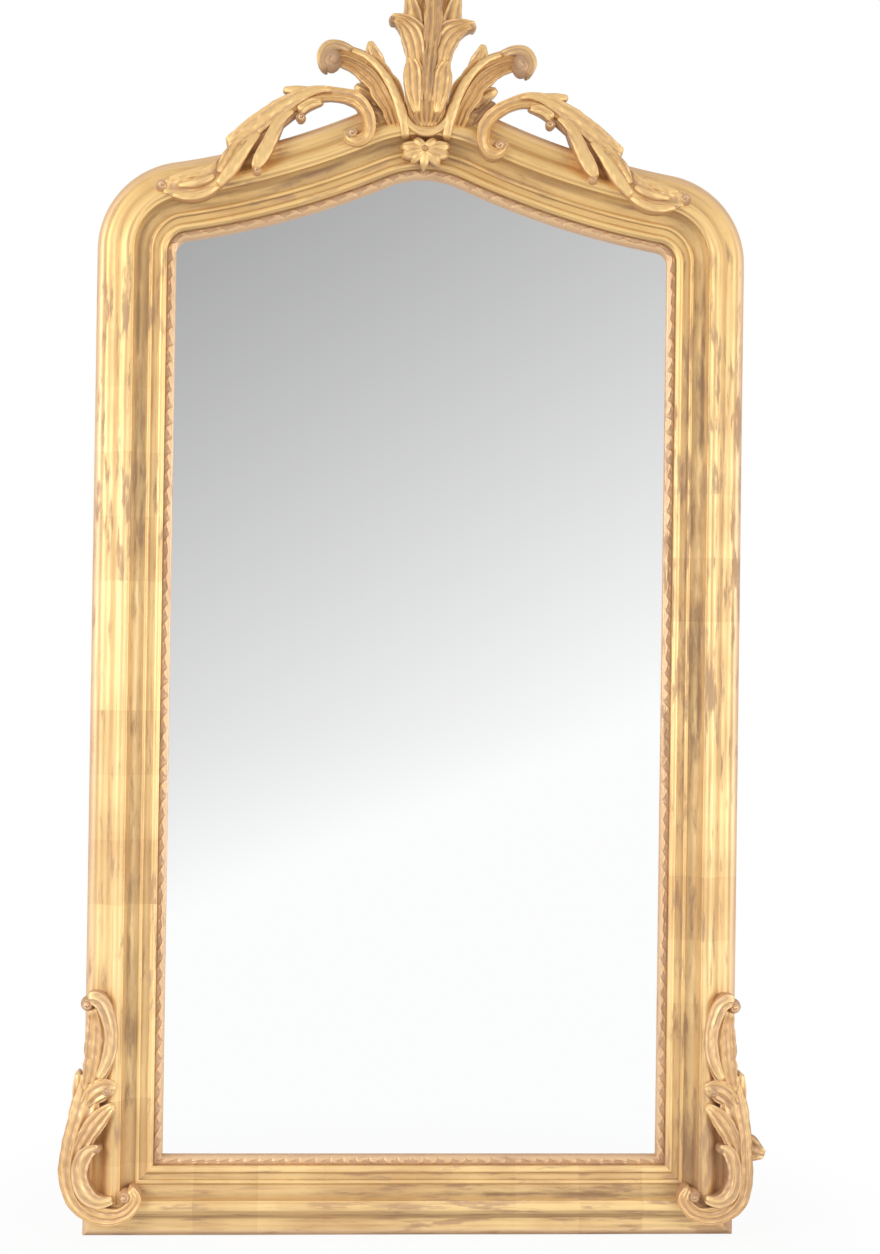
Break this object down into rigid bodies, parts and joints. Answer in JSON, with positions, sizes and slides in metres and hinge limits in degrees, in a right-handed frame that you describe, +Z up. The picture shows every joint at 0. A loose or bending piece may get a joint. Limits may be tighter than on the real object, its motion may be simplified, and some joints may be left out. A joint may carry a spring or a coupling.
{
  "type": "wall mirror",
  "caption": "Tall wall mirror: arched gilt moulded frame with a carved leaf crest and corner scrolls, a silvered plate, boarded back and swinging hanging rings.",
  "frame": {"origin": "middle of the frame's foot, on the wall plane", "axes": "+X to the viewer's right, +Z up, +Y into the wall, so the glass looks along -Y"},
  "size_m": [0.8854, 0.0726, 1.5881],
  "materials": {
    "gilt": "gold leaf on gesso over carved wood, rubbed and toned",
    "softwood": "bare planed pine, darkened",
    "silvered_plate": "polished glass silvered on its back",
    "brass": "plain pressed and bent brass",
    "steel": "plain steel",
    "iron": "black iron bar"
  },
  "bodies": {
    "frame": {"back_board_1": "softwood", "back_board_2": "softwood", "back_board_3": "softwood", "back_board_4": "softwood", "back_board_5": "softwood", "board_nails": "steel", "carcass_bottom_rail": "softwood", "carcass_stile_left": "softwood", "carcass_stile_right": "softwood", "carcass_top_board": "softwood", "corner_scroll_left": "gilt", "corner_scroll_right": "gilt", "crest_bar": "iron", "crest_bar_screws": "steel", "crest_block": "softwood", "crest_floret": "gilt", "crest_leaf_left": "gilt", "crest_leaf_right": "gilt", "crest_plume": "gilt", "crest_scroll_left": "gilt", "crest_scroll_right": "gilt", "glass_blocks": "softwood", "hanger_screws": "steel", "hanger_strap_left": "brass", "hanger_strap_right": "brass", "lap_pegs": "softwood", "mirror_plate": "silvered_plate", "moulding_arch_left": "gilt", "moulding_arch_right": "gilt", "moulding_bottom": "gilt", "moulding_shoulder_left": "gilt", "moulding_shoulder_right": "gilt", "moulding_stile_left": "gilt", "moulding_stile_right": "gilt", "slip_bottom": "gilt", "slip_stile_left": "gilt", "slip_stile_right": "gilt", "slip_top_left": "gilt", "slip_top_right": "gilt"},
    "ring_left": {"hanger_ring_left": "brass"},
    "ring_right": {"hanger_ring_right": "brass"}
  },
  "joints": [
    {"name": "ring_left_swing", "type": "hinge", "parent": "frame", "child": "ring_left", "pos_m": [-0.371, -0.0047, 1.09], "axis": [1, 0, 0], "range_deg": [0, 175]},
    {"name": "ring_right_swing", "type": "hinge", "parent": "frame", "child": "ring_right", "pos_m": [0.371, -0.0047, 1.09], "axis": [1, 0, 0], "range_deg": [0, 175]}
  ]
}
